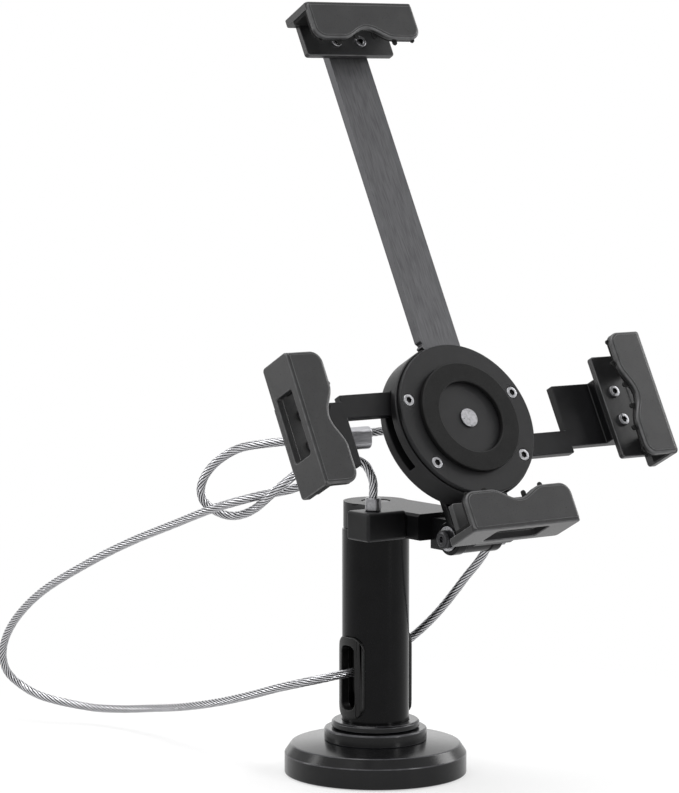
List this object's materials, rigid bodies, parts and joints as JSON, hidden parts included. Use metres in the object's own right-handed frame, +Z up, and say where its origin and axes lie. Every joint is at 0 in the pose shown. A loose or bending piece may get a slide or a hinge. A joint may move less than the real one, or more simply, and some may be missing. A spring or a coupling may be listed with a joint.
{
  "type": "tablet security stand",
  "caption": "Counter stand for a tablet: round base, cable-way post, tilting and turning head with four gripping jaws, and a steel tether cable.",
  "frame": {"origin": "centre of the base's underside, on the counter", "axes": "+Z up along the post, -Y to the side that the screen faces, +X to the right of someone standing behind the stand's screen side and facing +Y"},
  "size_m": [0.202, 0.3201, 0.3558],
  "materials": {
    "black_paint": "satin black powder coat",
    "grey_paint": "satin dark grey powder coat",
    "steel": "zinc plated fasteners",
    "plate_steel": "plain turned steel",
    "dark_steel": "black oxide",
    "arm_aluminium": "dark anodised",
    "hub_plastic": "matt moulded",
    "jaw_plastic": "fine grain moulded, dark grey",
    "rubber": "soft matt",
    "grommet_plastic": "semi gloss black",
    "brass": "turned",
    "lock_chrome": "plated",
    "cable_steel": "twisted strands in a clear sleeve",
    "crimp_aluminium": "pressed"
  },
  "bodies": {
    "stand": {"base_pad": "rubber", "base_plate": "plate_steel", "base_cover": "black_paint", "lower_collar": "black_paint", "upper_ring": "black_paint", "post_tube": "black_paint", "post_foot_plug": "plate_steel", "post_bolt": "steel", "post_top_plug": "plate_steel", "left_grommet": "grommet_plastic", "right_grommet": "grommet_plastic", "neck_arm": "grey_paint", "neck_bolt": "dark_steel", "cable_lock_body": "grey_paint", "cable_plug": "steel", "cable_ferrule": "crimp_aluminium", "cable": "cable_steel"},
    "cable_lock": {"cable_lock_barrel": "lock_chrome"},
    "tilt_frame": {"tilt_bracket": "black_paint", "tilt_bolt": "dark_steel", "tilt_left_washer": "steel", "tilt_right_washer": "steel", "tilt_nut": "steel", "swivel_bolt": "steel", "swivel_washer": "steel", "swivel_nut": "steel"},
    "hub": {"hub_housing": "hub_plastic", "hub_cover": "hub_plastic", "cover_screw_1": "steel", "cover_screw_2": "steel", "cover_screw_3": "steel", "cover_screw_4": "steel", "hub_ring_pad": "rubber", "pinion_axle": "steel", "bottom_arm": "grey_paint", "bottom_arm_screw_1": "steel", "bottom_arm_screw_2": "steel", "bottom_jaw": "jaw_plastic", "bottom_pad": "rubber", "bottom_jaw_screw_1": "steel", "bottom_jaw_screw_2": "steel"},
    "pinion_gear": {"pinion": "brass"},
    "arm_lock": {"arm_lock_barrel": "lock_chrome"},
    "catch": {"catch_bar": "steel"},
    "top_slider": {"top_arm": "arm_aluminium", "top_jaw": "jaw_plastic", "top_pad": "rubber", "top_jaw_screw_1": "steel", "top_jaw_screw_2": "steel"},
    "left_slider": {"left_arm": "grey_paint", "left_jaw": "jaw_plastic", "left_pad": "rubber", "left_jaw_screw_1": "steel", "left_jaw_screw_2": "steel"},
    "right_slider": {"right_arm": "grey_paint", "right_jaw": "jaw_plastic", "right_pad": "rubber", "right_jaw_screw_1": "steel", "right_jaw_screw_2": "steel"}
  },
  "joints": [
    {"name": "tilt", "type": "hinge", "parent": "stand", "child": "tilt_frame", "pos_m": [0, -0.069, 0.118], "axis": [-1, 0, 0], "range_deg": [-28, 12]},
    {"name": "rotate", "type": "hinge", "parent": "tilt_frame", "child": "hub", "pos_m": [0, -0.06039, 0.16722], "axis": [0, -0.8829, 0.4695], "range_deg": [-90, 90]},
    {"name": "top_arm_slide", "type": "slide", "parent": "hub", "child": "top_slider", "axis": [0, 0.4695, 0.8829], "range_m": [-0.015, 0.015]},
    {"name": "left_arm_slide", "type": "slide", "parent": "hub", "child": "left_slider", "axis": [-1, 0, 0], "range_m": [-0.02, 0.012]},
    {"name": "right_arm_slide", "type": "slide", "parent": "hub", "child": "right_slider", "axis": [1, 0, 0], "range_m": [-0.02, 0.012]},
    {"name": "pinion_turn", "type": "hinge", "parent": "hub", "child": "pinion_gear", "pos_m": [0, -0.05862, 0.16628], "axis": [0, -0.8829, 0.4695], "range_deg": [-192, 116]},
    {"name": "arm_lock_turn", "type": "hinge", "parent": "hub", "child": "arm_lock", "pos_m": [-0.018, -0.04508, 0.18535], "axis": [0, 0.8829, -0.4695], "range_deg": [0, 90]},
    {"name": "catch_slide", "type": "slide", "parent": "hub", "child": "catch", "axis": [1, 0, 0], "range_m": [0, 0.00212]},
    {"name": "cable_lock_turn", "type": "hinge", "parent": "stand", "child": "cable_lock", "pos_m": [-0.026, -0.031, 0.1215], "axis": [0, 1, 0], "range_deg": [0, 90]}
  ],
  "couplings": [
    {"joint": "right_arm_slide", "follows": "left_arm_slide", "ratio": 1},
    {"joint": "pinion_turn", "follows": "left_arm_slide", "rad_per_m": 166.67},
    {"joint": "arm_lock_turn", "follows": "catch_slide", "rad_per_m": 740.48}
  ]
}
